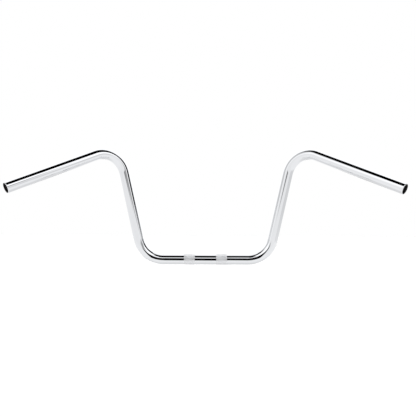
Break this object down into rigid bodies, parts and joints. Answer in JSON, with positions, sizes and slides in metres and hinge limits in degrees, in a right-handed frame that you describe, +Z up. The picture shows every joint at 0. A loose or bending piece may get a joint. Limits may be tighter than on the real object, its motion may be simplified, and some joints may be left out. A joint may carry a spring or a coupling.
{
  "type": "ape hanger handlebar",
  "caption": "Tall one-piece motorbike handlebar of bent chromed tube, with knurled clamp bands, rising uprights and swept-back grip ends.",
  "frame": {"origin": "on the tube's axis at the middle of the clamp section, midway between the two knurled bands", "axes": "+X along the clamp section to the rider's right, +Z up in the plane of the two uprights, -Y back towards the rider, the way the grips sweep"},
  "size_m": [0.885, 0.2005, 0.2858],
  "materials": {
    "chrome": "polished"
  },
  "bodies": {
    "root": {"handlebar": "chrome"}
  },
  "joints": []
}
